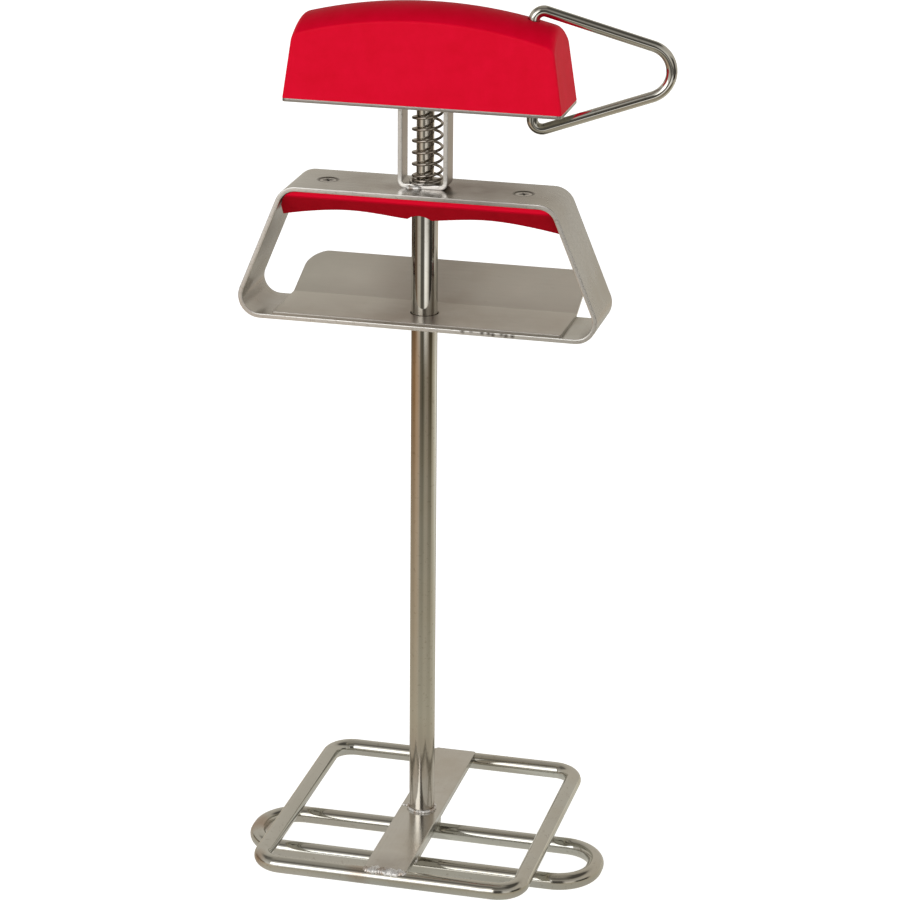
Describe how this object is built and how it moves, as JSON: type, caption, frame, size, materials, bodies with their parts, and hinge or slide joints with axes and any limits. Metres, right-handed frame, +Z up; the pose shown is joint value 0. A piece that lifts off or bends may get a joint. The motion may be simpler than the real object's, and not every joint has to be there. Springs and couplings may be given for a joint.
{
  "type": "grill grate lifter",
  "caption": "Hand-squeezed lifter for hot grill grates: two wire feet clamp a grate between them, worked by a sprung palm handle on a long tube with a heat shield.",
  "frame": {"origin": "on the tube axis, level with the underside of the lower foot it stands on", "axes": "+Z up along the tube, +X along the handle towards the hanging loop, +Y towards the raised back of the heat shield"},
  "size_m": [0.1953, 0.142, 0.4176],
  "materials": {
    "red_plastic": "soft satin moulding, shared by the palm cover and the finger grip",
    "sheet_steel": "stainless strip and sheet, fine brushed along its length",
    "polished_steel": "polished stainless bar, tube and wire",
    "spring_steel": "darker drawn spring wire",
    "fastener_steel": "zinc-plated fasteners",
    "weld_metal": "uneven weld beads with light heat tint"
  },
  "bodies": {
    "lift_core": {"handle_cover": "red_plastic", "handle_base_plate": "sheet_steel", "cover_screws": "fastener_steel", "push_rod": "polished_steel", "rod_nut": "fastener_steel", "rod_washer": "fastener_steel", "lower_foot_ring": "polished_steel", "lower_foot_strap": "sheet_steel", "lower_foot_welds": "weld_metal"},
    "trigger_frame": {"guide_tube": "polished_steel", "grip_frame": "sheet_steel", "heat_shield": "sheet_steel", "finger_grip": "red_plastic", "grip_screws": "fastener_steel", "guide_bracket": "sheet_steel", "bracket_welds": "weld_metal", "spring_seat": "fastener_steel", "return_spring": "spring_steel", "upper_foot_ring": "polished_steel", "foot_plate": "sheet_steel", "upper_foot_welds": "weld_metal", "tube_weld": "weld_metal"},
    "hang_loop": {"hanging_loop": "polished_steel"}
  },
  "joints": [
    {"name": "squeeze", "type": "slide", "parent": "lift_core", "child": "trigger_frame", "axis": [0, 0, 1], "range_m": [0, 0.018], "stiffness_N_per_m": 1900, "springref_m": -0.01, "deforming": ["return_spring"]},
    {"name": "loop_swing", "type": "hinge", "parent": "lift_core", "child": "hang_loop", "pos_m": [0.0486, 0, 0.389], "axis": [0, 0, 1], "range_deg": [-128, 102]}
  ]
}
